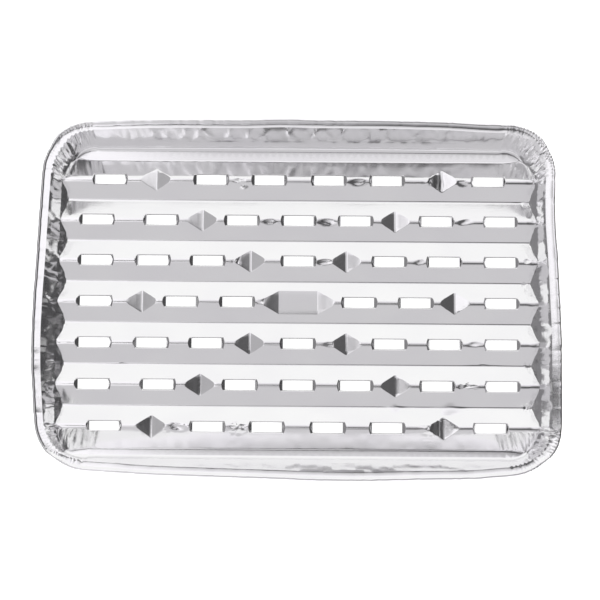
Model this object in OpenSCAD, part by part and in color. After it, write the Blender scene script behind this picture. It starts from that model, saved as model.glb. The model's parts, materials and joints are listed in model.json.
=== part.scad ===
// Grill tray pressed and folded from one sheet of aluminium foil.
// Seven ribs run the length of the floor. Long slots are punched through their crests, and
// short cross dips are pressed down between the slots. The walls lean out, are gathered into
// pleats at the four corners, and end in a flat flange with a rolled bead.
// X runs along the ribs, Y across them and Z up. The ground is at z = 0.

/* [Overall] */
// Length over the rolled rim
tray_l = 340; // [300:1:400]
// Width over the rolled rim
tray_w = 234; // [200:1:290]
// Height from the ground to the top of the rim
tray_h = 25; // [18:0.5:40]
// Gauge of the foil
foil = 0.08; // [0.06:0.01:0.15]

/* [Walls and rim] */
// How far the end walls lean out between the floor and the flange
end_lean = 6.2; // [4:0.1:12]
// How far the long walls lean out between the floor and the flange
side_lean = 8; // [4:0.1:12]
// Inside radius of the fold between the floor and the walls
foot_r = 3; // [1:0.1:4]
// Width of the flange, with its rolled bead
flange_w = 6; // [5:0.1:8]
// Radius of the flange's outer corners
rim_corner_r = 35; // [30:1:45]
// Radius of the floor's corners
floor_corner_r = 20; // [14:1:26]
// Height of the rolled bead
roll_h = 2.4; // [1.8:0.1:3]
// How far the bead stands over the flange
bead_rise = 0.4; // [0.1:0.1:0.6]
// How far the foil's edge is tucked back under the flange
roll_tuck = 2; // [0.8:0.1:2.4]

/* [Corner pleats] */
// Pleats gathered round each corner
pleats = 14; // [6:1:18]
// Depth of a pleat at the flange
pleat_depth = 1.1; // [0.4:0.1:1.4]
// Height over the fold at the floor at which the pleats begin
pleat_start = 1.5; // [0.5:0.5:4]

/* [Ribs] */
// Distance from one rib to the next
rib_pitch = 27.6; // [24:0.1:34]
// Height of a crest over the valleys
rib_h = 5.8; // [5:0.1:8]
// Radius of a crest
crest_r = 6; // [3:0.1:7]
// Width of the flat foot of a valley
valley_w = 1.2; // [0.6:0.1:3]
// Narrowest flat strip left along the long walls
strip_w = 3.5; // [2:0.5:10]

/* [Slots] */
// Length of a slot at the crest
slot_l = 23.6; // [16:0.1:26]
// Width of a slot at the crest
slot_w = 7.8; // [5:0.1:9]
// How deep the punch turns the slot's edges down from the crest
slot_drop = 2.4; // [1.8:0.1:3.2]
// How far each end of a slot slopes in on its way down
slot_end_run = 1.9; // [0.8:0.1:2.4]
// How far each long edge of a slot leans in on its way down
slot_side_run = 0.6; // [0.2:0.1:1]
// Least foil between a slot and the end wall
slot_edge = 3; // [2:0.5:6]

/* [Dips] */
// Half length of a dip along its crest
dip_reach = 9.8; // [6:0.1:11]
// Depth of a dip under the crest
dip_drop = 2.9; // [1.5:0.1:4]
// Width of the flat foot of a dip
dip_foot = 1.2; // [0.4:0.1:2]
// Half length of the long dip in the middle rib
long_dip_reach = 24.5; // [18:0.5:26]
// Length of the flat foot of the long dip
long_dip_foot = 26; // [10:1:30]
// Depth of the long dip under the crest
long_dip_drop = 3.2; // [1.5:0.1:4]

/* [Hidden] */

// Slots and dips to one side of the middle of a rib, as distances from its middle. The first
// entry of each list is for the middle rib, and the next ones for the ribs beside it, outwards.
SLOTS = [[40.5, 78, 135], [0, 60.5, 97, 135], [0, 38, 92, 135], [20, 59, 127]];
DIPS = [[104], [32], [64.5], [96]];

// The flange lies a little under the top of the bead. The walls' top edge lies inside the
// flange, and the line where they would meet the floor without a fold inside that.
flange_z = tray_h - bead_rise;
lean = [end_lean, side_lean];
wall_top = [tray_l / 2 - flange_w, tray_w / 2 - flange_w];
wall_foot = wall_top - lean;
wall_top_r = rim_corner_r - flange_w;
wall_run = lean / (flange_z - foil);
// Angle that each wall makes with the floor, and the edge of the flat floor inside the fold
wall_a = [for (run = wall_run) 90 - atan(run)];
floor_edge = wall_foot - foot_r * [for (a = wall_a) tan(a / 2)];
// How fast a corner's radius grows as its wall reaches out
corner_growth = (wall_top_r - floor_corner_r) / (wall_top.x - floor_edge.x);

// As many ribs as fit between the strips, and always an odd number.
rib_fit = floor((2 * floor_edge.y - 2 * strip_w) / rib_pitch);
ribs_each_side = min(len(SLOTS) - 1, floor((rib_fit - 1) / 2));
// Slope of a flank that runs from the foot of a valley into the round crest
flank_run = (rib_pitch - valley_w) / 2;
flank_rise = rib_h - crest_r;
flank_a = atan(flank_rise / flank_run) + asin(crest_r / norm([flank_run, flank_rise]));
crest_z = foil + rib_h;
roll_r = roll_h / 2;
// Angle round the bead at which it leaves the flange, and that line's distance from the rim
roll_start = 180 - asin(1 - bead_rise / roll_r);
bead_in = roll_r - roll_r * cos(roll_start);
// Height at which the pleats begin
pleat_foot_z = fold_z(max(wall_a), 0) + pleat_start;

// Cutters reach this far past what they cut.
past = 1;
// Foil trimmed off the foot of a slot's pocket
trim = 0.3;
STEPS = 2 * pleats;
FOOT_STEPS = 3;
CREST_STEPS = 6;
ROLL_STEPS = 7;
ROLL_CORNER_STEPS = 10;

// Corner of a line of the profile that is moved out by the foil's gauge
function mitre(grow, angle) = grow * tan(angle / 2);

// One outline of the basin with round corners. Every other point in a corner is drawn in by
// the pleat, and the amount of pleat is 0 at the floor.
function outline(half, r, pleat) = [
    for (q = [0:3], i = [0:STEPS])
        let (a = 90 * q + 90 * i / STEPS,
             centre = [(q == 0 || q == 3 ? 1 : -1) * (half.x - r), (q < 2 ? 1 : -1) * (half.y - r)],
             inward = i % 2 == 1 ? pleat : 0)
        centre + (r - inward) * [cos(a), sin(a)]];

// Height that the fold at the floor has reached at an angle of its bend
function fold_z(a, grow) = foil + foot_r - (foot_r + grow) * cos(a);

// How far out a wall is at a height: round the fold first, and up the straight wall after it
function wall_reach(z, grow) = [
    for (i = [0, 1])
        z < fold_z(wall_a[i], grow)
            ? floor_edge[i] + sqrt(pow(foot_r + grow, 2) - pow(foil + foot_r - z, 2))
            : wall_foot[i] + wall_run[i] * (z - foil) + grow / sin(wall_a[i])];

// The outline of the basin at a height, where its walls are at one reach
function basin_ring(z, half) =
    let (gathered = max(0, (z - pleat_foot_z) / (flange_z - pleat_foot_z)),
         r = floor_corner_r + corner_growth * (half.x - floor_edge.x))
    [for (p = outline(half, r, pleat_depth * gathered)) [p.x, p.y, z]];

// Skin over a stack of rings round the Z axis, each with the same number of points
module skin(rings) {
    n = len(rings[0]);
    high = (len(rings) - 1) * n;
    hubs = [[0, 0, rings[0][0].z], [0, 0, rings[len(rings) - 1][0].z]];
    hub = len(rings) * n;
    sides = [for (k = [0:len(rings) - 2], i = [0:n - 1])
        let (a = k * n + i, b = k * n + (i + 1) % n)
        each [[a, a + n, b], [b, a + n, b + n]]];
    caps = [for (i = [0:n - 1])
        let (j = (i + 1) % n)
        each [[hub, i, j], [hub + 1, high + j, high + i]]];
    polyhedron(points = concat([for (ring = rings) each ring], hubs), faces = concat(sides, caps));
}

// The room between the walls, or the same room grown by the foil. Its lowest ring goes on past
// the floor in line with the first facet of the fold.
module wall_form(grow) {
    fold = [for (i = [0:FOOT_STEPS]) fold_z(max(wall_a) * i / FOOT_STEPS, grow)];
    reach = [wall_reach(fold[0], grow), wall_reach(fold[1], grow)];
    under = reach[0] - (reach[1] - reach[0]) * (fold[0] + past) / (fold[1] - fold[0]);
    skin(concat(
        [basin_ring(-past, under)],
        [for (z = [for (i = [1:FOOT_STEPS]) fold[i], pleat_foot_z, tray_h + past])
            basin_ring(z, wall_reach(z, grow))]));
}

// Upper surface of the floor across the ribs, moved down by the foil where it is grown
function rib_line(grow) =
    let (foot = valley_w / 2 + mitre(grow, flank_a), z = foil - grow, r = crest_r - grow)
    [for (k = [-ribs_each_side:ribs_each_side])
        each concat(
            [[(k - 0.5) * rib_pitch + foot, z]],
            [for (i = [-CREST_STEPS / 2:CREST_STEPS / 2])
                let (a = flank_a * i / (CREST_STEPS / 2))
                [k * rib_pitch + r * sin(a), foil + rib_h - crest_r + r * cos(a)]],
            [[(k + 0.5) * rib_pitch - foot, z]])];

// All the room above the ribbed floor, up to a height
module floor_form(grow, top) {
    side = tray_w / 2;
    low = foil - grow;
    profile = concat([[-side, top], [-side, low]], rib_line(grow), [[side, low], [side, top]]);
    translate([-tray_l / 2, 0, 0])
        rotate([90, 0, 90])
            linear_extrude(tray_l)
                polygon(profile);
}

// Cross groove pressed down into a crest, with sloping ends
module dip_form(reach, foot, drop, grow) {
    rise_a = atan(drop / (reach - foot / 2));
    low = crest_z - drop - grow;
    high = crest_z + past;
    half_low = foot / 2 + mitre(grow, rise_a);
    half_high = half_low + (high - low) / tan(rise_a);
    translate([0, rib_pitch / 2, 0])
        rotate([90, 0, 0])
            linear_extrude(rib_pitch)
                polygon([[-half_low, low], [half_low, low], [half_high, high], [-half_high, high]]);
}

// Wedge that narrows on its way down from the crest, as one side view of the slot punch. It
// goes a little deeper than the slot, because the torn foot is trimmed off.
function punch_view(size, run, grow) =
    let (slope = run / slot_drop, side = grow * norm([slope, 1]),
         low = crest_z - slot_drop - trim - grow, high = crest_z + past,
         half_low = size / 2 - slope * (crest_z - low) + side,
         half_high = size / 2 + slope * (high - crest_z) + side)
    [[-half_low, low], [half_low, low], [half_high, high], [-half_high, high]];

// Pocket that the slot punch presses into a crest before it breaks through
module slot_form(grow) {
    intersection() {
        translate([0, slot_w, 0])
            rotate([90, 0, 0])
                linear_extrude(2 * slot_w)
                    polygon(punch_view(slot_l, slot_end_run, grow));
        translate([-slot_l, 0, 0])
            rotate([90, 0, 90])
                linear_extrude(2 * slot_l)
                    polygon(punch_view(slot_w, slot_side_run, grow));
    }
}

// Cut that trims the foot off a pocket, and so leaves the slot open with its edges turned down
module slot_trim() {
    size = [slot_l - 2 * slot_end_run, slot_w - 2 * slot_side_run] + 2 * [trim, trim];
    translate([-size.x / 2, -size.y / 2, crest_z - slot_drop - past])
        cube([size.x, size.y, past]);
}

// Both sides of the middle, or the middle alone
function mirrored(x) = x == 0 ? [0] : [-x, x];

// Places whatever it holds at each slot that fits between the end walls
module at_slots() {
    for (k = [-ribs_each_side:ribs_each_side], d = SLOTS[abs(k)])
        if (d + slot_l / 2 + slot_edge < floor_edge.x)
            for (x = mirrored(d))
                translate([x, k * rib_pitch, 0])
                    children();
}

// Places whatever it holds at each short dip that fits between the end walls
module at_dips() {
    for (k = [-ribs_each_side:ribs_each_side], d = DIPS[abs(k)])
        if (d + dip_reach < floor_edge.x)
            for (x = mirrored(d))
                translate([x, k * rib_pitch, 0])
                    children();
}

// The room inside the tray, or the same room grown by the foil, which is the tray's outside
module room(grow, top) {
    intersection() {
        wall_form(grow);
        floor_form(grow, top);
    }
    at_dips()
        dip_form(dip_reach, dip_foot, dip_drop, grow);
    dip_form(long_dip_reach, long_dip_foot, long_dip_drop, grow);
    at_slots()
        slot_form(grow);
}

// Outline of the flange, pulled in from the rim
function rim_line(inset) = [
    for (q = [0:3], i = [0:ROLL_CORNER_STEPS])
        let (a = 90 * q + 90 * i / ROLL_CORNER_STEPS,
             centre = [(q == 0 || q == 3 ? 1 : -1) * (tray_l / 2 - rim_corner_r),
                       (q < 2 ? 1 : -1) * (tray_w / 2 - rim_corner_r)])
        centre + (rim_corner_r - inset) * [cos(a), sin(a)]];

// Flat flange, still closed over the tray: the room inside the tray trims it to the wall
module flange() {
    translate([0, 0, flange_z - foil])
        linear_extrude(foil)
            polygon(rim_line(bead_in));
}

// Bend of the bead, up from the flange and over the rim, as [distance in from the rim, height]
function roll_arc(r) = [
    for (i = [0:ROLL_STEPS])
        let (a = roll_start - (roll_start + 90) * i / ROLL_STEPS)
        [roll_r - r * cos(a), tray_h - roll_r + r * sin(a)]];

// Section of the bead. It is rooted in the flange by a wedge inside the flange's gauge.
roll_section = concat(
    [[bead_in + past, flange_z - foil / 2]],
    roll_arc(roll_r),
    [[roll_r + roll_tuck, tray_h - roll_h], [roll_r + roll_tuck, tray_h - roll_h + foil]],
    [for (i = [ROLL_STEPS:-1:1]) roll_arc(roll_r - foil)[i]],
    [[bead_in, flange_z - foil]]);

// The foil's edge, rolled over the rim and tucked back under the flange all round the tray
module rolled_bead() {
    n = len(roll_section);
    lines = [for (p = roll_section) rim_line(p[0])];
    stations = len(lines[0]);
    polyhedron(
        points = [for (s = [0:stations - 1], i = [0:n - 1])
            [lines[i][s].x, lines[i][s].y, roll_section[i][1]]],
        faces = [for (s = [0:stations - 1], i = [0:n - 1])
            let (a = s * n + i, b = s * n + (i + 1) % n,
                 c = ((s + 1) % stations) * n + i, d = ((s + 1) % stations) * n + (i + 1) % n)
            each [[a, c, b], [b, c, d]]]);
}

module tray() {
    color("silver")
        difference() {
            union() {
                room(foil, flange_z - foil / 2);
                flange();
                rolled_bead();
            }
            room(0, tray_h + past);
            at_slots()
                slot_trim();
        }
}

tray();
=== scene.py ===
import bpy
import json
import math

import numpy as np
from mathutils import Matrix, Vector, noise

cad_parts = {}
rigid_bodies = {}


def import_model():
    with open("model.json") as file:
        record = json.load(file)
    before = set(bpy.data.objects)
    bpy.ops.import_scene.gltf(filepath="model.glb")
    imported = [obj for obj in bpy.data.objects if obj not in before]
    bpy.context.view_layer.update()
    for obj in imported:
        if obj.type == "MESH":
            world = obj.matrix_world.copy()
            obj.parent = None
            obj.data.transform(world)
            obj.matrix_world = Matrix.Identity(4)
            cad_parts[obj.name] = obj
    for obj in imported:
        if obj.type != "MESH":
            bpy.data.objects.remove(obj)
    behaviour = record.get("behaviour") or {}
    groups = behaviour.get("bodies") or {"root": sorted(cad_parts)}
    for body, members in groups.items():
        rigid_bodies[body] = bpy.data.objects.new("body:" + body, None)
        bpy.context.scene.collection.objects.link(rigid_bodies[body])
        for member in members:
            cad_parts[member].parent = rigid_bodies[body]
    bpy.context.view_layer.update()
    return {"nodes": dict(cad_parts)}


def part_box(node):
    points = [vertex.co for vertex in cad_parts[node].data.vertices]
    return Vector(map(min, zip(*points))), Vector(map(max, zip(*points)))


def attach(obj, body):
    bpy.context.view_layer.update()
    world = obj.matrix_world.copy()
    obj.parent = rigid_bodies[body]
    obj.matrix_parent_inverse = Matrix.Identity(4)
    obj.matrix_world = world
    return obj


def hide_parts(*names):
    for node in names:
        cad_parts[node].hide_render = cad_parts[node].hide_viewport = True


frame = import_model()


# Camera
# The tray is seen from a little in front of straight above, about 0.7 m up, and is turned by
# half a degree in the picture. Lengths are in metres, as everywhere below.
camera_place = (0.0017, -0.0671, 0.6797)
camera_tilt = math.radians(5.66)
camera_turn = math.radians(0.44)

bpy.ops.object.camera_add(location=camera_place, rotation=(camera_tilt, 0, camera_turn))
camera = bpy.context.object
camera.data.sensor_width = 36
camera.data.lens = 61.3
camera.data.clip_start = 0.01
bpy.context.scene.camera = camera
bpy.context.scene.view_settings.view_transform = "Standard"


# Floor and white room
# A pale sweep of paper carries the tray, in a white room. Both show white to the camera and in
# the metal, and the paper keeps the tray's soft shadow.
floor_size = 6.0
paper_white = 0.8
paper_glow = 0.85
shadow_edges = (("X", 0.160), ("Y", 0.107))
shadow_fade = 0.01
room_light = 0.75


def background_rays(nodes, links):
    """1 for the rays that show the background: seen directly, in metal and through glass."""
    path = nodes.new("ShaderNodeLightPath")
    shown = path.outputs["Is Camera Ray"]
    for kind in ("Is Glossy Ray", "Is Transmission Ray"):
        either = nodes.new("ShaderNodeMath")
        either.operation = "MAXIMUM"
        links.new(shown, either.inputs[0])
        links.new(path.outputs[kind], either.inputs[1])
        shown = either.outputs["Value"]
    return shown


bpy.ops.mesh.primitive_plane_add(size=floor_size, location=(0, 0, 0))
floor = bpy.context.object
floor.name = "floor"
paper = bpy.data.materials.new("pale_paper")
paper.use_nodes = True
nodes, links = paper.node_tree.nodes, paper.node_tree.links
nodes.clear()
output = nodes.new("ShaderNodeOutputMaterial")
matt = nodes.new("ShaderNodeBsdfDiffuse")
matt.inputs["Color"].default_value = (paper_white, paper_white, paper_white, 1)
glow = nodes.new("ShaderNodeEmission")
strength = nodes.new("ShaderNodeMath")
strength.operation = "MULTIPLY"
lit = nodes.new("ShaderNodeAddShader")
links.new(background_rays(nodes, links), strength.inputs[0])
links.new(strength.outputs["Value"], glow.inputs["Strength"])
# Under the tray the paper lies in its shadow, which only the camera's rays look through.
where = nodes.new("ShaderNodeTexCoord")
shade = nodes.new("ShaderNodeSeparateXYZ")
links.new(where.outputs["Object"], shade.inputs["Vector"])
open_paper = None
for axis, edge in shadow_edges:
    distance = nodes.new("ShaderNodeMath")
    distance.operation = "ABSOLUTE"
    clear = nodes.new("ShaderNodeMapRange")
    clear.inputs["From Min"].default_value = edge
    clear.inputs["From Max"].default_value = edge + shadow_fade
    clear.inputs["To Max"].default_value = paper_glow
    links.new(shade.outputs[axis], distance.inputs[0])
    links.new(distance.outputs["Value"], clear.inputs["Value"])
    if open_paper is None:
        open_paper = clear.outputs["Result"]
    else:
        wider = nodes.new("ShaderNodeMath")
        wider.operation = "MAXIMUM"
        links.new(open_paper, wider.inputs[0])
        links.new(clear.outputs["Result"], wider.inputs[1])
        open_paper = wider.outputs["Value"]
camera_ray = nodes.new("ShaderNodeLightPath").outputs["Is Camera Ray"]
seen_glow = nodes.new("ShaderNodeMath")
seen_glow.operation = "MULTIPLY"
seen_glow.inputs[1].default_value = paper_glow
links.new(camera_ray, seen_glow.inputs[0])
any_glow = nodes.new("ShaderNodeMath")
any_glow.operation = "MAXIMUM"
links.new(seen_glow.outputs["Value"], any_glow.inputs[0])
links.new(open_paper, any_glow.inputs[1])
links.new(any_glow.outputs["Value"], strength.inputs[1])
links.new(matt.outputs["BSDF"], lit.inputs[0])
links.new(glow.outputs["Emission"], lit.inputs[1])
links.new(lit.outputs["Shader"], output.inputs["Surface"])
floor.data.materials.append(paper)

world = bpy.data.worlds.new("studio")
bpy.context.scene.world = world
world.use_nodes = True
nodes, links = world.node_tree.nodes, world.node_tree.links
nodes.clear()
output = nodes.new("ShaderNodeOutputWorld")
brightness = nodes.new("ShaderNodeMapRange")
brightness.inputs["To Min"].default_value = room_light
brightness.inputs["To Max"].default_value = 1.0
background = nodes.new("ShaderNodeBackground")
background.inputs["Color"].default_value = (1, 1, 1, 1)
links.new(background_rays(nodes, links), brightness.inputs["Value"])
links.new(brightness.outputs["Result"], background.inputs["Strength"])
links.new(background.outputs["Background"], output.inputs["Surface"])


# Studio cards
# Large cards hang round the tray, as a photographer of metal hangs them, and the foil mirrors
# them, so that every fold gets its own grey. The space behind the tray stays open and white.
card_grey = (1.0, 0.985, 1.015)
soft_box_z = 1.3
front_y = -1.5
# Each plain card: centre, half sizes along its own two sides, turn in degrees, and brightness
plain_cards = {
    "card_front": ((0, front_y, 0.975), (1.4, 0.325), (90, 0, 0), 0.63),
    "card_front_low": ((0, front_y, 0.325), (1.4, 0.325), (90, 0, 0), 0.95),
    "card_right": ((1.4, 0, 0.65), (0.65, 1.5), (0, 90, 0), 0.07),
    "card_left": ((-1.4, 0, 0.65), (0.65, 1.5), (0, 90, 0), 0.24),
    "card_camera": ((0, -0.05, 0.74), (0.32, 0.045), (0, 0, 0), 0.06),
}


def hang_card(name, place, half, turn):
    """A card whose Object coordinates are metres of the room, seen only in the metal."""
    bpy.ops.mesh.primitive_plane_add(size=2, location=place, rotation=[math.radians(a) for a in turn])
    card = bpy.context.object
    card.name = name
    card.scale = (half[0], half[1], 1)
    bpy.ops.object.transform_apply(location=True, rotation=True, scale=True)
    coat = bpy.data.materials.new(name)
    coat.use_nodes = True
    nodes, links = coat.node_tree.nodes, coat.node_tree.links
    nodes.clear()
    output = nodes.new("ShaderNodeOutputMaterial")
    glow = nodes.new("ShaderNodeEmission")
    glow.inputs["Color"].default_value = (*card_grey, 1)
    links.new(glow.outputs["Emission"], output.inputs["Surface"])
    card.data.materials.append(coat)
    card.visible_camera = card.visible_diffuse = card.visible_shadow = False
    return nodes, links, glow


for name, (place, half, turn, tone) in plain_cards.items():
    nodes, links, glow = hang_card(name, place, half, turn)
    glow.inputs["Strength"].default_value = tone

# The soft box above is even in the middle and in front, and bright on the left and behind. It
# falls off to the dark card on the right and to the grey one on the far left.
middle_tone, back_tone, bright_tone, far_left_tone, right_tone = 0.63, 1.03, 1.08, 0.45, 0.10
nodes, links, glow = hang_card("soft_box", (0, -0.375, soft_box_z), (1.4, 1.125), (0, 0, 0))
place = nodes.new("ShaderNodeTexCoord")
room = nodes.new("ShaderNodeSeparateXYZ")
links.new(place.outputs["Object"], room.inputs["Vector"])


def fade(source, start, end):
    """Goes smoothly from 0 to 1 while source goes from start to end."""
    way = nodes.new("ShaderNodeMapRange")
    way.interpolation_type = "SMOOTHSTEP"
    way.inputs["From Min"].default_value = start
    way.inputs["From Max"].default_value = end
    links.new(source, way.inputs["Value"])
    return way.outputs["Result"]


def calculate(operation, first, second):
    """One Math node over two values, each a socket or a number."""
    node = nodes.new("ShaderNodeMath")
    node.operation = operation
    for socket, value in zip(node.inputs, (first, second)):
        if isinstance(value, float):
            socket.default_value = value
        else:
            links.new(value, socket)
    return node.outputs["Value"]


def toward(tone, target, amount):
    """Moves a tone towards a target tone by an amount from 0 to 1."""
    return calculate("ADD", tone, calculate("MULTIPLY", amount, calculate("SUBTRACT", target, tone)))


room_x, room_y = room.outputs["X"], room.outputs["Y"]
over_tray = fade(room_y, -0.75, -0.25)
slant = calculate("SUBTRACT", room_x, calculate("MULTIPLY", room_y, 0.9))
tone = toward(middle_tone, back_tone, fade(room_y, 0.08, 0.75))
for target, spread in ((bright_tone, fade(room_x, -0.15, -0.42)),
                       (far_left_tone, fade(room_x, -0.50, -0.85)),
                       (right_tone, fade(slant, 0.12, 0.62))):
    tone = toward(tone, target, calculate("MULTIPLY", over_tray, spread))
links.new(tone, glow.inputs["Strength"])


# Foil tray: the sheet
# The whole tray is one sheet of bright aluminium foil, 0.08 mm thick, pressed between two dies.
# Its upper side is taken from the solid and cut into small faces that can take dents.
foil_gauge = 0.00008
rib_pitch = 0.0276
crest_height = foil_gauge + 0.0058
slot_drop, roll_height = 0.0024, 0.0024
slot_foot_z = crest_height - slot_drop
tray_high = Vector(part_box("tray")[1])
tuck_z = tray_high.z - roll_height
# Where the flat of the floor ends at the walls, and where the ribs end
flat_edge_x, flat_edge_y = 0.1554, 0.1008
rib_end_x = 0.152

bpy.ops.object.select_all(action="DESELECT")
node = frame["nodes"]["tray"]
foil = node.copy()
foil.data = node.data.copy()
foil.name = foil.data.name = "foil_tray"
bpy.context.collection.objects.link(foil)
bpy.context.view_layer.objects.active = foil
foil.select_set(True)
foil.data.materials.clear()
bpy.ops.object.mode_set(mode="EDIT")
bpy.ops.mesh.select_mode(type="VERT")
bpy.ops.mesh.select_all(action="SELECT")
bpy.ops.mesh.remove_doubles(threshold=1e-6)
bpy.ops.mesh.customdata_custom_splitnormals_clear()
bpy.ops.mesh.select_mode(type="FACE")


def face_centres():
    """Centre and normal of each face of the foil, outside edit mode."""
    count = len(foil.data.polygons)
    centres, normals = np.empty(count * 3), np.empty(count * 3)
    foil.data.polygons.foreach_get("center", centres)
    foil.data.polygons.foreach_get("normal", normals)
    return centres.reshape(-1, 3), normals.reshape(-1, 3)


def select_foil_faces(chosen):
    """Selects the foil's faces for which chosen is true, and goes back to edit mode."""
    for parts in (foil.data.vertices, foil.data.edges):
        parts.foreach_set("select", np.zeros(len(parts), bool))
    foil.data.polygons.foreach_set("select", np.broadcast_to(chosen, len(foil.data.polygons)).copy())
    bpy.ops.object.mode_set(mode="EDIT")


def folds_between_faces():
    """Each fold of the foil between two faces: its edge, how far it turns, and its two ends."""
    loop_edge = np.empty(len(foil.data.loops), int)
    foil.data.loops.foreach_get("edge_index", loop_edge)
    loops_in_face = np.empty(len(foil.data.polygons), int)
    foil.data.polygons.foreach_get("loop_total", loops_in_face)
    loop_face = np.repeat(np.arange(len(loops_in_face)), loops_in_face)
    order = np.argsort(loop_edge, kind="stable")
    same_edge = loop_edge[order][1:] == loop_edge[order][:-1]
    normal = face_centres()[1]
    first, second = normal[loop_face[order][:-1][same_edge]], normal[loop_face[order][1:][same_edge]]
    ends = np.empty(len(foil.data.edges) * 2, int)
    foil.data.edges.foreach_get("vertices", ends)
    shared = loop_edge[order][1:][same_edge]
    return shared, np.arccos(np.clip((first * second).sum(axis=1), -1, 1)), ends.reshape(-1, 2)[shared]


# The torn feet of the slots and the end of the tuck join the two sides of the sheet.
bpy.ops.object.mode_set(mode="OBJECT")
centre, normal = face_centres()
slot_feet = (abs(normal[:, 2]) > 0.9) & (abs(centre[:, 2] - slot_foot_z) < 1e-5)
tuck_end = (abs(normal[:, 2]) < 0.5) & (abs(centre[:, 2] - tuck_z - foil_gauge / 2) < 1e-4)
select_foil_faces(slot_feet | tuck_end)
bpy.ops.mesh.delete(type="FACE")
bpy.ops.object.mode_set(mode="OBJECT")
centre, normal = face_centres()
inside = np.argmin(np.hypot(centre[:, 0], centre[:, 1]) + 10 * (normal[:, 2] < 0))
select_foil_faces(np.arange(len(centre)) == inside)
bpy.ops.mesh.select_linked()
bpy.ops.mesh.select_all(action="INVERT")
bpy.ops.mesh.delete(type="FACE")
bpy.ops.mesh.select_all(action="SELECT")
bpy.ops.mesh.dissolve_limited(angle_limit=math.radians(0.4))
bpy.ops.object.mode_set(mode="OBJECT")

# The folds round the dips and the slots have a small radius.
pressed_radius = 0.0003
pressed_bend = math.radians(14)
edge, bend, ends = folds_between_faces()
spot = np.empty(len(foil.data.vertices) * 3)
foil.data.vertices.foreach_get("co", spot)
middle = spot.reshape(-1, 3)[ends].mean(axis=1)
pressed = ((bend > pressed_bend) & (middle[:, 2] > 0.0006) & (middle[:, 2] < crest_height + 1e-5)
           & (abs(middle[:, 0]) < rib_end_x) & (abs(middle[:, 1]) < flat_edge_y))
for parts in (foil.data.vertices, foil.data.polygons):
    parts.foreach_set("select", np.zeros(len(parts), bool))
picked = np.zeros(len(foil.data.edges), bool)
picked[edge[pressed]] = True
foil.data.edges.foreach_set("select", picked)
bpy.context.tool_settings.mesh_select_mode = (False, True, False)
bpy.ops.object.mode_set(mode="EDIT")
bpy.ops.mesh.bevel(offset=pressed_radius, segments=1, affect="EDGES", clamp_overlap=True)
bpy.ops.mesh.select_mode(type="FACE")
bpy.ops.object.mode_set(mode="OBJECT")


# Foil tray: faces small enough to bend
# The sheet has lines across it every 5 mm, and close lines along the valleys, where it turns
# sharply. The walls and the rim are cut closely along their run and level by level, and the
# corners by planes through their own middle.
def work_on(chosen):
    """Goes to edit mode with only the chosen faces of the foil in sight."""
    select_foil_faces(chosen)
    bpy.ops.mesh.hide(unselected=True)


def cut_foil(place, direction):
    """Cuts all the faces in sight along one plane."""
    bpy.ops.mesh.select_all(action="SELECT")
    bpy.ops.mesh.bisect(plane_co=place, plane_no=direction, use_fill=False)


def work_done():
    """Brings every face of the foil back in sight, and leaves edit mode."""
    bpy.ops.mesh.reveal(select=False)
    bpy.ops.object.mode_set(mode="OBJECT")


def around(count, step, start=0.0):
    """Places on both sides of the middle, a step apart."""
    return [side * (start + i * step) for i in range(count) for side in ((1, -1) if start + i else (1,))]


def corner_reach(spots):
    """Distance out from the rounding middle of the corners, and its part along each side."""
    past = np.maximum(abs(spots[:, :2]) - (rim_mid_x, rim_mid_y), 0)
    return np.hypot(past[:, 0], past[:, 1]), past[:, 0], past[:, 1]


rim_r, rim_mid_x, rim_mid_y = 0.035, 0.135, 0.082
flange_in, flange_out, inner_lip = 0.029, 0.0329, 0.0008
across_step = 0.005
valley_lines = (0, 0.0006, 0.0012)
flank_lines = (0.0050, 0.0094)
wall_levels = (0.0042, 0.0066, 0.0090, 0.0114, 0.0138, 0.0162, 0.0186, 0.0210)
end_step, back_step, front_step = 0.0015, 0.0012, 0.0030
floor_reach, wall_top_reach = 0.0195, 0.0285
corner_planes = 28


def flat_flange():
    """The flat top of the rim, and which of its faces lie on the straight sides."""
    centre, normal = face_centres()
    reach, past_x, past_y = corner_reach(centre)
    on_flange = (reach > flange_in) & (reach < flange_out) & (normal[:, 2] > 0.9) & (centre[:, 2] > 0.024)
    return on_flange, (past_x == 0) | (past_y == 0)


centre = face_centres()[0]
reach, past_x, past_y = corner_reach(centre)
work_on((past_x == 0) | (past_y == 0) | (reach < floor_reach))
cuts_across = around(int(tray_high.x / across_step), across_step, across_step / 2)
for cut_x in cuts_across + around(6, end_step, 0.1488):
    cut_foil((cut_x, 0, 0), (1, 0, 0))
for k in range(-4, 4):
    for dy in valley_lines + flank_lines:
        for side in ((1, -1) if dy else (1,)):
            cut_foil((0, (k + 0.5) * rib_pitch + side * dy, 0), (0, 1, 0))
work_done()
for along, side, flat_edge, half, step in (
        (0, 1, flat_edge_y, rim_mid_x, back_step), (0, -1, flat_edge_y, rim_mid_x, front_step),
        (1, 1, flat_edge_x, rim_mid_y, end_step), (1, -1, flat_edge_x, rim_mid_y, end_step)):
    centre = face_centres()[0]
    work_on((side * centre[:, 1 - along] > flat_edge) & (abs(centre[:, along]) < half))
    direction = np.eye(3)[along]
    for cut_at in around(int(half / step), step, step * 0.45):
        cut_foil(cut_at * direction, direction)
    work_done()
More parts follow.
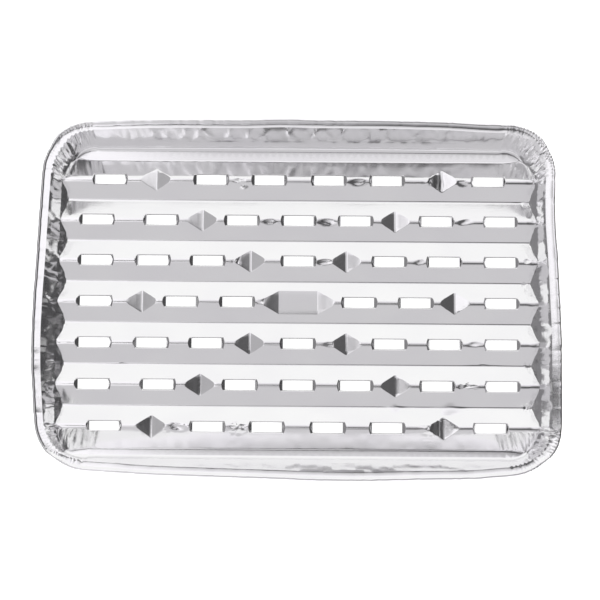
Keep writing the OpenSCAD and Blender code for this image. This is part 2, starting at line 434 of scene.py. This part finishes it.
for turned, least_reach in ((0.5, floor_reach), (0, wall_top_reach)):
    for side_x in (-1, 1):
        for side_y in (-1, 1):
            centre = face_centres()[0]
            reach, past_x, past_y = corner_reach(centre)
            at_corner = (past_x > 0) & (past_y > 0) & (reach > least_reach)
            work_on(at_corner & (centre[:, 0] * side_x > 0) & (centre[:, 1] * side_y > 0))
            for i in range(corner_planes):
                angle = (i + turned) * math.radians(90 / corner_planes)
                cut_foil((side_x * rim_mid_x, side_y * rim_mid_y, 0),
                         (-side_x * math.sin(angle), side_y * math.cos(angle), 0))
            work_done()
work_on(corner_reach(face_centres()[0])[0] > floor_reach)
for level in wall_levels:
    cut_foil((0, 0, level), (0, 0, 1))
work_done()
on_flange, on_straight = flat_flange()
work_on(on_flange & on_straight)
for side in (-1, 1):
    cut_foil((side * (rim_mid_x + flange_in + 0.002), 0, 0), (1, 0, 0))
    cut_foil((0, side * (rim_mid_y + flange_in + 0.002), 0), (0, 1, 0))
cut_foil((0, rim_mid_y + flange_in + inner_lip, 0), (0, 1, 0))
work_done()
on_flange, on_straight = flat_flange()
select_foil_faces(on_flange & ~on_straight)
bpy.ops.mesh.subdivide(number_cuts=1)
bpy.ops.object.mode_set(mode="OBJECT")


# Foil tray: dents to come
# Finger marks and pressing faults on the ribs: long lens-shaped dents and crumpled spots. Each
# has its middle, half length, half width and depth in millimetres, and its turn in degrees.
lens_dents = (
    (39.5, 79.4, 7.0, 3.2, 0.9, 0), (-19.3, 52.0, 5.4, 2.6, 0.7, 0), (18.8, 52.0, 7.4, 3.6, 1.0, -6),
    (17.6, 25.2, 6.0, 2.8, 0.9, 4), (-78.7, -84.4, 8.0, 3.4, 1.0, -8), (21.2, -29.8, 4.6, 2.2, 0.6, 0),
    (80.9, 25.7, 4.0, 2.4, 0.6, 30), (117.0, -28.6, 4.4, 2.4, 0.6, 0), (111.0, 52.9, 6.0, 2.6, 0.7, 18),
    (-24.0, -1.2, 3.6, 2.2, 0.5, 20), (152.1, 26.9, 2.6, 2.0, 0.6, 0), (109.2, 78.9, 5.0, 2.6, 0.8, -20),
)
crumples = (
    (-39.7, 79.2, 5.4, 3.4, 0.9, 0), (-41.5, 24.8, 3.4, 3.0, 0.8, 0), (112.1, -55.7, 8.0, 4.2, 1.0, 0),
    (-39.0, -84.6, 6.6, 6.0, 1.3, 0), (90.5, 79.6, 9.0, 6.0, 0.5, 10), (88.5, -84.6, 9.0, 6.4, 0.6, -10),
    (-84.0, -84.6, 6.0, 5.4, 0.35, 10), (152.6, 65.6, 3.4, 3.0, 0.8, 0), (152.2, -70.0, 3.4, 3.0, 0.9, 0),
    (151.8, 12.0, 3.0, 2.6, 0.6, 0), (152.6, -42.5, 3.0, 2.6, 0.8, 0),
)
# Broad soft marks on the flanks and the strips, in the same terms
soft_marks = (
    (-37.0, 73.4, 5.0, 4.2, -0.95, 25), (101.0, -70.8, 13.0, 5.6, -1.4, 0),
    (64.5, -70.8, 8.0, 4.8, -1.1, 0), (-59.4, -56.5, 7.0, 5.0, 0.35, 0),
    (146.0, -91.0, 12.0, 4.6, 0.50, 24), (86.5, -93.6, 10.0, 3.0, 0.40, 0),
    (-128.0, -92.0, 12.0, 3.8, 0.45, -12), (123.4, -41.5, 12.0, 2.6, 0.40, 0),
    (-118.4, -43.4, 9.0, 2.4, 0.35, 0), (-4.0, 84.0, 24.0, 4.4, 0.22, 0),
    (-96.0, 88.0, 15.0, 3.6, 0.25, 4), (60.0, 89.0, 18.0, 3.4, 0.25, -3),
    (-60.0, -93.0, 14.0, 3.4, 0.30, 3), (20.0, -92.0, 20.0, 3.6, 0.28, 0),
    (126.0, 88.5, 12.0, 4.0, 0.40, -8),
)
# The first three turn sharply enough to need fine faces, and the crumples are cut twice.
for reach, marks in ((1.2, lens_dents + crumples + soft_marks[:3]), (0.95, crumples)):
    centre, normal = face_centres()
    near_dent = np.zeros(len(centre), bool)
    for mid_x, mid_y, half_x, half_y, depth, turn in marks:
        away = (centre[:, :2] * 1000 - (mid_x, mid_y)) / (half_x + 1.5, half_y + 1.5)
        near_dent |= (away ** 2).sum(axis=1) < reach ** 2
    select_foil_faces(near_dent & (centre[:, 2] < 0.007) & (abs(centre[:, 1]) < flat_edge_y))
    bpy.ops.mesh.quads_convert_to_tris(quad_method="BEAUTY", ngon_method="BEAUTY")
    bpy.ops.mesh.subdivide(number_cuts=1)
    bpy.ops.object.mode_set(mode="OBJECT")

foil.data.polygons.foreach_get("loop_total", totals := np.empty(len(foil.data.polygons), int))
select_foil_faces(totals > 4)
bpy.ops.mesh.quads_convert_to_tris(quad_method="BEAUTY", ngon_method="BEAUTY")
bpy.ops.object.mode_set(mode="OBJECT")


# Foil tray: how it stands
# The sheet has given a little: the pressed floor sits nearer the front wall, the corners are
# drawn in, the long walls bow, and the ribs end in sloping shoulders.
spot = np.empty(len(foil.data.vertices) * 3)
foil.data.vertices.foreach_get("co", spot)
x, y, z = spot.reshape(-1, 3).T.copy()


def ease(value, start, end):
    """Goes smoothly from 0 to 1 while value goes from start to end."""
    way = np.clip((value - start) / (end - start), 0, 1)
    return way * way * (3 - 2 * way)


past_x = np.sign(x) * np.maximum(abs(x) - rim_mid_x, 0)
past_y = np.sign(y) * np.maximum(abs(y) - rim_mid_y, 0)
cad_reach = np.maximum(np.hypot(past_x, past_y), 1e-9)
out_x, out_y = past_x / cad_reach, past_y / cad_reach
on_rim = ease(cad_reach, flange_in - 0.0008, flange_in)
cad_z = z.copy()

# Way round the tray in millimetres, from the front on by the right, the back and the left
turn_at = np.arctan2(abs(past_y), abs(past_x))
quarter = np.minimum(abs(y), rim_mid_y) + rim_r * turn_at + rim_mid_x - np.minimum(abs(x), rim_mid_x)
half_round = rim_mid_y + rim_mid_x + rim_r * math.pi / 2
round_way = 1000 * np.where(x >= 0, np.sign(y) * quarter, 2 * half_round - np.sign(y) * quarter)
full_round = 4000 * half_round
corner = np.sin(2 * turn_at) ** 0.5

# Valleys are rounded, not flat.
valley_half, flank_slope = 0.0012, 0.492
place = y / rib_pitch - 0.5
beside = (place - np.round(place)) * rib_pitch
outer_strip = abs(y) > 3.5 * rib_pitch
round_foot = (abs(beside) < valley_half + 1e-5) & (z < 0.0004) & (z > 0) & ~outer_strip
z = np.where(round_foot, foil_gauge + flank_slope * beside ** 2 / (2 * valley_half), z)

# The torn feet of the slots are bent up a little.
z += 0.0006 * (abs(cad_z - slot_foot_z) < 2e-5) * (cad_reach < 0.02)

# How far the rim stands out of its drawn place, at places on the way round, in millimetres
outline = (
    (-256, 0.4), (-232, 0.6), (-208, 0.1), (-184, -0.6), (-160, -1.1), (-136, -3.2), (-112, -3.2),
    (-96, -1.8), (-80, -1.0), (-48, -0.5), (-24, 0), (0, -0.7), (24, -1.6), (48, -3.1),
    (72, -3.0), (92, -1.8), (104, -1.4), (120, -1.4), (136, -2.2), (152, -1.9), (176, -0.3),
    (216, 0.2), (264, 0.3), (284, 0.8), (304, 0), (352, -0.2), (384, -0.9), (408, -1.8),
    (424, -1.3), (440, -1.7), (460, -2.0), (480, -1.1), (504, -0.3), (544, 1.3), (568, 1.6),
    (592, 0.8), (608, -0.6), (624, -1.9), (640, -4.1), (656, -5.6), (672, -5.3), (696, -3.9),
    (720, -2.3), (760, -1.4), (816, 0.2),
)
soft_way = np.arange(-272, 816)
soft_out = np.interp(soft_way, *zip(*outline), period=full_round)
for turn in range(3):
    soft_out = sum(np.roll(soft_out, step) for step in range(-5, 6)) / 11
wall_height = 0.0245
rise = np.clip((cad_z - foil_gauge) / wall_height, 0, 1)
lifted = np.where(cad_reach > flange_in - 0.001, 1, rise)
stands_out = lifted * 0.001 * np.interp(round_way, soft_way, soft_out, period=full_round)
# The feet of the corners stand out, most of all at the front left.
front_left_out, other_feet_out = 0.003, 0.0016
corner_foot = (1 - rise) * ease(cad_reach, 0.014, 0.0205) * np.sin(2 * turn_at)
stands_out += corner_foot * np.where((x < 0) & (y < 0), front_left_out, other_feet_out)

# Sloping shoulders at the rib ends, and the leaning of the end walls
heights = (0, 0.0024, 0.0059, 0.0120, 0.0246)
right_lean = np.interp(z, heights, (-0.0016, -0.0018, 0.0002, 0.0004, -0.0003))
left_lean = np.interp(z, heights, (0.0012, 0.0022, 0, 0, 0))
wall_lean = np.where(x > 0, right_lean, left_lean) * ease(abs(x), 0.148, 0.1535)
wall_lean *= (1 - ease(abs(y), 0.075, 0.112)) * (1 - ease(cad_reach, flange_in, flange_in + 0.0022))
x = x + wall_lean + stands_out * out_x
y = y + stands_out * out_y

# The long walls bow out a little, most of all the front one.
back_bow, front_bow = 0.002, 0.0064
bow = (1 - (1 - rise) ** 1.5 - rise) * (1 - on_rim)
y += bow * (back_bow * ease(y, 0.0985, 0.1025) - front_bow * ease(-y, 0.0985, 0.1025))

# The floor is pressed off the middle, and the two rear crests lean to the front.
on_floor = 1 - ease(abs(y), 0.0975, 0.1060)
crest_lean = 0.0003 * ease(y, 0.041, 0.056) * np.clip(z / crest_height, 0, 1)
y = y - on_floor * (0.0017 + 0.0033 * y + crest_lean)
# In front it runs on to the wall in a long soft curve.
y -= (1 - rise) ** 2 * 0.0010 * ease(-y, 0.085, 0.098)
past_valley = -0.0989 - y
curve = 0.10 * past_valley + 200 * np.maximum(past_valley - 0.0035, 0) ** 2
front_foot = (cad_z < 0.004) & (past_valley > 0) & (cad_reach < 0.0235)
z = np.where(front_foot, np.maximum(z, foil_gauge + curve), z)

# The flange lies lower than the bead and slopes up to it. It tilts in at the front and right.
flange_drop, front_tilt, right_tilt = 0.0008, 0.00015, 0.00072
on_top = (cad_z > 0.0238) & (cad_reach > flange_in - 0.0015)
left_rim = ease(-out_x, 0.5, 0.9)
slope_start = flange_in + 0.0021 + 0.0018 * left_rim
slope_end = flange_out + 0.0001 + 0.0004 * left_rim
z -= on_top * flange_drop * (1 - ease(cad_reach, slope_start, slope_end))
inner_drop = front_tilt * ease(-out_y, 0.5, 0.9) + right_tilt * ease(out_x, 0.5, 0.9)
z -= inner_drop * on_top * np.clip((flange_in + 0.002 - cad_reach) / 0.002, 0, 1)


# Foil tray: dents, crumples and gathers
# Thin foil takes every knock: the end walls are creased, the corners are gathered, and the
# long walls keep a few slanting folds.
def crinkle(u, v, cell, seed):
    """Faceted height round 0 over a plane, from a four-sided pyramid at each scattered point."""
    scatter = np.random.default_rng(seed).random((256, 256, 3))
    i, j = np.floor(u / cell).astype(int), np.floor(v / cell).astype(int)
    lowest = np.full(len(u), 9.0)
    for di in (-1, 0, 1):
        for dj in (-1, 0, 1):
            point = scatter[(i + di) % 256, (j + dj) % 256]
            du, dv = u / cell - i - di - point[:, 0], v / cell - j - dj - point[:, 1]
            turn = point[:, 2] * math.pi
            lowest = np.minimum(lowest, abs(np.cos(turn) * du + np.sin(turn) * dv)
                                + abs(np.cos(turn) * dv - np.sin(turn) * du))
    return lowest - 0.5


def noise_at(*places):
    """Smooth noise round 0 at places given in their own cells."""
    return np.array([noise.noise(Vector(spot)) for spot in zip(*np.broadcast_arrays(*places))])


def dent_shape(mid_x, mid_y, half_x, half_y, turn):
    """Round bump of height 1 over an ellipse, in millimetres."""
    c, s = math.cos(math.radians(turn)), math.sin(math.radians(turn))
    dx, dy = x * 1000 - mid_x, y * 1000 - mid_y
    r = ((c * dx + s * dy) / half_x) ** 2 + ((c * dy - s * dx) / half_y) ** 2
    return np.clip(1 - r, 0, 1) ** 2


low_part = (cad_z < 0.0062) & (cad_reach < 0.0215)
for mid_x, mid_y, half_x, half_y, depth, turn in lens_dents + soft_marks:
    z -= low_part * 0.001 * depth * dent_shape(mid_x, mid_y, half_x, half_y, turn)
for n, (mid_x, mid_y, half_x, half_y, depth, turn) in enumerate(crumples):
    mark = low_part * dent_shape(mid_x, mid_y, half_x, half_y, turn) ** 0.5
    z += 0.001 * depth * mark * (crinkle(x, y, 0.0032, 20 + n) - 0.15)
z = np.maximum(z, np.where(low_part, foil_gauge, z))

# Creases run down the walls and fan out to the feet of the valleys.
left_crease, right_crease = 0.0010, 0.0011
up = cad_z * 1000
on_wall = ease(cad_reach, 0.0185, 0.0215) * ease(up, 0.6, 4.5) * (1 - on_rim)
on_wall *= 1 - 0.8 * ease(up, 20, 24.4)
left_side = np.where(x < 0, abs(out_x) ** 3, 0)
right_side = np.where(x > 0, abs(out_x) ** 3, 0)
back_side = np.where(y > 0, abs(out_y) ** 3, 0)
front_side = np.where(y < 0, abs(out_y) ** 3, 0)
valley = np.round(y / rib_pitch - 0.5)
from_valley = (y / rib_pitch - 0.5 - valley) * rib_pitch * 1000
spread = 0.35 + 0.65 * rise
end_folds = noise_at(from_valley / spread / 4.2, up / 34, valley * 3.7 + (x > 0) * 50.3)
end_creases = 0.3 - abs(noise_at(from_valley / spread / 2.6, up / 15, valley * 5.1 + (x > 0) * 20.7))
push = left_side * left_crease + right_side * right_crease
push *= spread * (end_folds + 0.6 * end_creases)
folds = 1 - 2 * abs(noise_at(round_way / 6.5, up / 14, 0.5))
fine_folds = 1 - 2 * abs(noise_at(round_way / 2.8, up / 9, 7.5))
push += (back_side * 0.0002 + front_side * 0.0003) * (folds - 0.6)
push += back_side * 0.0001 * (fine_folds - 0.6)

# The shoulders at the rib ends are crumpled a little.
shoulder = ease(abs(x), 0.1505, 0.1535) * ease(up, 0.3, 1.5) * (1 - ease(up, 5.5, 8.0))
shoulder *= (1 - ease(cad_reach, 0.0235, 0.0255)) * (1 - ease(abs(y), 0.084, 0.092))
z += 0.001 * shoulder * np.where(x > 0, 0.25, 0.15) * crinkle(x + 0.4 * z, y, 0.0055, 60)
x += 0.001 * shoulder * np.where(x > 0, 0.30, 0.2) * crinkle(y, x, 0.0065, 61)

# The corners are gathered: close pleats that start at the rim and run out towards the foot.
pleat_pitch, pleat_depth = 2.7, 0.0007
pleat_at = round_way / pleat_pitch + 0.5 * noise_at(round_way / 9, up / 30, 3.5) + 0.02 * up
pleat = 2 * abs(pleat_at - np.floor(pleat_at) - 0.5) - 0.5
gathered = corner * ease(up, 4, 16) * (1 + 1.2 * noise_at(round_way / 5, up / 12, 9.5))
push += pleat_depth * gathered * pleat
push *= on_wall

# Slanting folds in the back wall: each has its place, slant, middle height, length and share of
# the depth. They are steep on the left and gentle on the right.
fold_depth, left_width, right_width = 0.0008, 1.3, 3.6
back_folds = (
    (-97, 0.5, 17, 9, 0.5), (-88, 0.25, 15, 11, 0.6), (-77, 0.6, 16, 12, 0.7), (-68, 0.5, 15, 14, 0.9),
    (-61, -0.5, 16, 12, 0.7), (-47, 0.35, 16, 12, 0.9), (-34, 0.15, 15, 14, 0.9), (-24, 0.55, 15, 13, 0.9),
    (-7, -0.2, 16, 14, 1.0), (10, 0.25, 16, 13, 0.9), (19, -0.5, 15, 11, 0.6), (27, 0.5, 16, 13, 0.9),
    (44, 0.3, 15, 12, 0.7), (57, 0.3, 15, 12, 0.6), (78, 0.7, 17, 10, 0.7), (95, 0.3, 17, 9, 0.5),
)
for mid_x, slant, mid_up, length, depth in back_folds:
    aside = x * 1000 - mid_x - slant * (up - mid_up)
    ridge = np.clip(np.where(aside < 0, 1 + aside / left_width, 1 - aside / right_width), 0, 1)
    ridge *= np.clip(1 - (2 * (up - mid_up) / length) ** 2, 0, 1)
    push += fold_depth * depth * ridge * on_wall * back_side
x -= push * out_x
y -= push * out_y

# Crimps in the rolled edge at the corners, and kinks in its straight runs
crimp_pitch = 2.4
bead_side = ease(cad_reach, flange_in + 0.0012, flange_out) * (cad_z > 0.0215)
crimp_at = round_way / crimp_pitch + 0.3 * noise_at(round_way / 7, 5.5, 0.5)
crimp = abs(np.sin(math.pi * crimp_at)) - 0.6
kink = ease(noise_at(round_way / 6, 1.5, 8.5), 0.12, 0.3)
kink -= ease(noise_at(round_way / 3.1, 4.5, 2.5), 0.2, 0.4)
slow_wave = noise_at(round_way / 45, 3.1, 0.4)
z += bead_side * (0.00030 * corner * crimp + 0.00012 * kink * (1 - corner)) + 0.00020 * on_rim * slow_wave
swell = bead_side * (0.00012 * corner * crimp + 0.00010 * kink) + 0.00025 * on_rim * slow_wave
x += swell * out_x
y += swell * out_y

# A slight unevenness all over the pressed floor
ripple = noise_at(x * 26, y * 60, 0.3) + 0.35 * noise_at(x * 95, y * 160, 2.7)
z += 0.00012 * ripple * (cad_z > 0.0012) * low_part
z = np.clip(z, foil_gauge, tray_high.z + 0.0006)
foil.data.vertices.foreach_set("co", np.column_stack((x, y, z)).ravel())
foil.data.update()


# Foil tray: soft and sharp folds
# Pressed folds read as crisp lines, while the rolled bead and the foot of the walls are round.
fold_angle, bead_angle = math.radians(20), math.radians(50)
edge, bend, ends = folds_between_faces()
end_reach = cad_reach[ends]
at_bead = end_reach > 0.0302
at_foot = (end_reach < 0.0245) & (end_reach > 0.018) & (cad_z[ends] < 0.0032)
round_fold = at_bead.all(axis=1) | at_foot.all(axis=1)
sharp = np.zeros(len(foil.data.edges), bool)
sharp[edge] = bend > np.where(round_fold, bead_angle, fold_angle)
foil.data.edges.foreach_set("use_edge_sharp", sharp)
foil.data.polygons.foreach_set("use_smooth", np.ones(len(foil.data.polygons), bool))


# Foil tray: thickness
# The sheet gets its gauge on the side away from the food.
thickness = foil.modifiers.new("gauge", "SOLIDIFY")
thickness.thickness = foil_gauge
thickness.offset = -1
bpy.ops.object.modifier_apply(modifier=thickness.name)
even_shading = foil.modifiers.new("even_shading", "WEIGHTED_NORMAL")
even_shading.keep_sharp = True
bpy.ops.object.modifier_apply(modifier=even_shading.name)


# Foil tray: the bright rolled foil
# Rolled aluminium has fine lines along the sheet, a slight haze and a shallow all-over ripple.
metal = bpy.data.materials.new("bright_foil")
metal.use_nodes = True
nodes, links = metal.node_tree.nodes, metal.node_tree.links
shader = nodes["Principled BSDF"]
shader.inputs["Metallic"].default_value = 1
place = nodes.new("ShaderNodeTexCoord")


def foil_noise(scale, detail, stretch):
    """Noise over the foil in metres, stretched along the sheet's rolling direction, X."""
    mapping = nodes.new("ShaderNodeMapping")
    mapping.inputs["Scale"].default_value = stretch
    pattern = nodes.new("ShaderNodeTexNoise")
    pattern.inputs["Scale"].default_value = scale
    pattern.inputs["Detail"].default_value = detail
    links.new(place.outputs["Object"], mapping.inputs["Vector"])
    links.new(mapping.outputs["Vector"], pattern.inputs["Vector"])
    return pattern.outputs["Fac"]


def foil_range(source, low, high):
    """Spreads a noise value over the range from low to high."""
    spread = nodes.new("ShaderNodeMapRange")
    spread.inputs["From Min"].default_value, spread.inputs["From Max"].default_value = 0.3, 0.7
    spread.inputs["To Min"].default_value, spread.inputs["To Max"].default_value = low, high
    links.new(source, spread.inputs["Value"])
    return spread.outputs["Result"]


rolled = foil_noise(1600, 3, (0.02, 1, 1))
cloudy = foil_noise(45, 2, (0.6, 1, 1))
handled = foil_noise(260, 3, (1, 1, 1))
haze = nodes.new("ShaderNodeMath")
haze.operation = "ADD"
links.new(foil_range(rolled, 0.06, 0.11), haze.inputs[0])
links.new(foil_range(cloudy, 0.03, 0.07), haze.inputs[1])
links.new(haze.outputs["Value"], shader.inputs["Roughness"])
tone = nodes.new("ShaderNodeMix")
tone.data_type = "RGBA"
tone.inputs["A"].default_value = (0.905, 0.900, 0.912, 1)
tone.inputs["B"].default_value = (0.940, 0.938, 0.940, 1)
links.new(foil_range(cloudy, 0, 1), tone.inputs["Factor"])
links.new(tone.outputs["Result"], shader.inputs["Base Color"])
relief = nodes.new("ShaderNodeMath")
relief.operation = "MULTIPLY_ADD"
relief.inputs[1].default_value = 0.12
links.new(rolled, relief.inputs[0])
links.new(handled, relief.inputs[2])
bump = nodes.new("ShaderNodeBump")
bump.inputs["Strength"].default_value = 0.35
bump.inputs["Distance"].default_value = 0.00006
links.new(relief.outputs["Value"], bump.inputs["Height"])
links.new(bump.outputs["Normal"], shader.inputs["Normal"])
foil.data.materials.append(metal)

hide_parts("tray")
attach(foil, "root")
